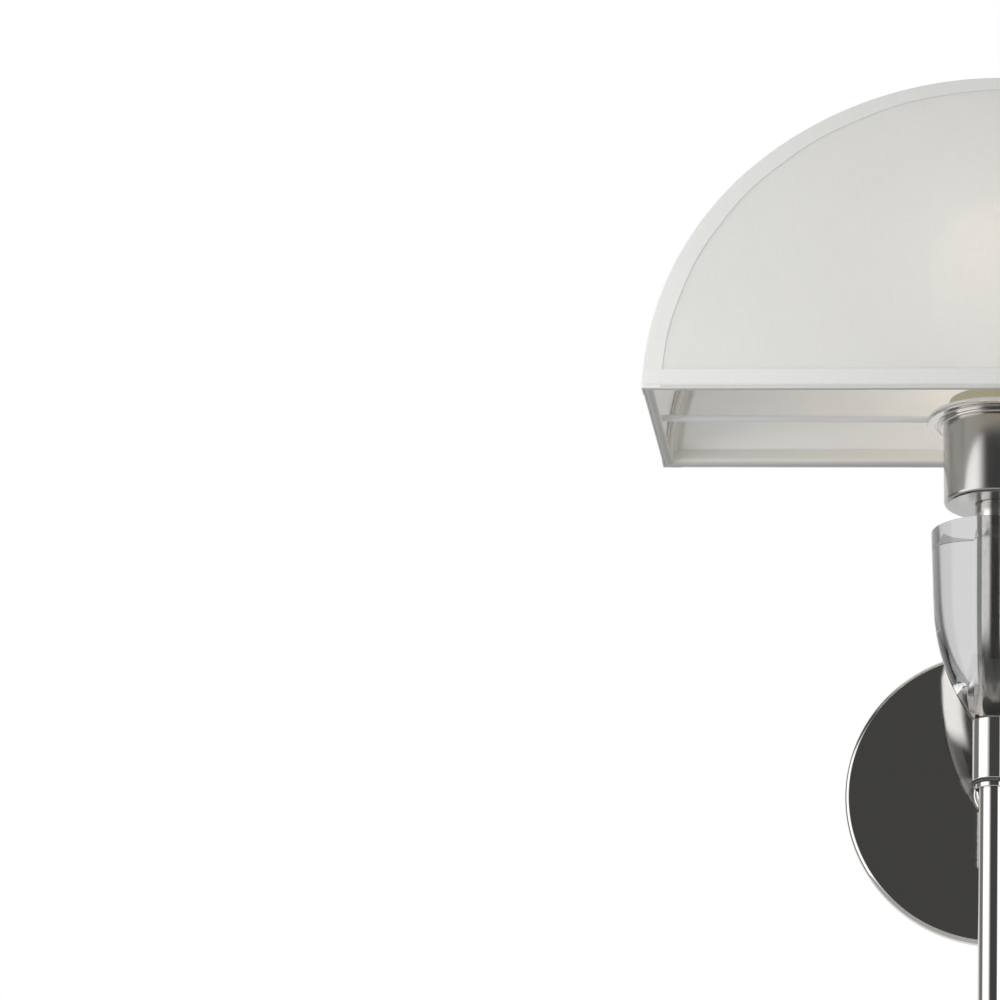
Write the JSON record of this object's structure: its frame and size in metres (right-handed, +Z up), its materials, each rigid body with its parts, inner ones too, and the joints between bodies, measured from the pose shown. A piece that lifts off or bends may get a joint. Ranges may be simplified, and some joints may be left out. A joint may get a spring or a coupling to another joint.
{
  "type": "swing arm wall sconce",
  "caption": "Wall lamp with a round backplate, a short swinging arm, a turning vertical stem, a solid glass calyx and an open-bottomed half-moon linen shade.",
  "frame": {"origin": "centre of the round backplate on the wall plane, at the height of the arm", "axes": "+Z up along the stem, +Y into the wall, so the lamp stands out along -Y and +X is to the right of someone facing it"},
  "size_m": [0.298, 0.1405, 0.7874],
  "materials": {
    "polished_nickel": "mirror-polished nickel plate",
    "brass": "bright machined brass",
    "zinc_steel": "zinc-plated pressed steel",
    "green_screw": "green ground screw",
    "bulb_cap_aluminium": "drawn aluminium screw cap",
    "bush_nylon": "natural nylon",
    "washer_fibre": "black fibre washer",
    "lead_insulation": "insulated lead",
    "porcelain": "glazed porcelain",
    "ivory_plastic": "moulded ivory phenolic",
    "frosted_glass": "frosted glass, lit warm white",
    "clear_glass": "solid clear glass, fire-polished",
    "frame_wire": "satin zinc-plated wire",
    "linen": "off-white plain-weave linen on a styrene lining"
  },
  "bodies": {
    "wall": {"backplate": "polished_nickel", "mounting_strap": "zinc_steel", "ground_screw": "green_screw", "wall_nipple": "brass", "lock_nut": "brass", "wall_boss": "polished_nickel", "swivel_fork": "polished_nickel", "swivel_pin": "polished_nickel", "swivel_cap_nut": "polished_nickel", "swivel_washers": "bush_nylon", "wall_leads": "lead_insulation"},
    "arm": {"arm_knuckle": "polished_nickel", "arm_tube": "polished_nickel", "arm_ferrule": "polished_nickel", "hub_sleeve": "polished_nickel", "hub_bushes": "bush_nylon", "arm_leads": "lead_insulation"},
    "head": {"stem_tube": "polished_nickel", "stem_plug": "brass", "stem_washer": "washer_fibre", "retaining_ring": "polished_nickel", "stem_finial": "polished_nickel", "calyx": "clear_glass", "neck_tube": "polished_nickel", "neck_nipple": "brass", "neck_leads": "lead_insulation", "socket_cup": "polished_nickel", "cup_nut": "brass", "socket_flange": "polished_nickel", "socket_body": "porcelain", "screw_shell": "brass", "socket_contact": "brass", "ring_nut": "ivory_plastic", "bulb_glass": "frosted_glass", "bulb_cap": "bulb_cap_aluminium", "bulb_contact": "brass", "shade_spider": "frame_wire", "shade_front_frame": "frame_wire", "shade_back_frame": "frame_wire", "shade_side_wires": "frame_wire", "shade_front_panel": "linen", "shade_back_panel": "linen", "shade_band": "linen"}
  },
  "joints": [
    {"name": "arm_swing", "type": "hinge", "parent": "wall", "child": "arm", "pos_m": [0, -0.027, 0], "axis": [0, 0, 1], "range_deg": [-60, 60]},
    {"name": "stem_turn", "type": "hinge", "parent": "arm", "child": "head", "pos_m": [0, -0.088, 0], "axis": [0, 0, -1], "range_deg": [-75, 75]}
  ]
}
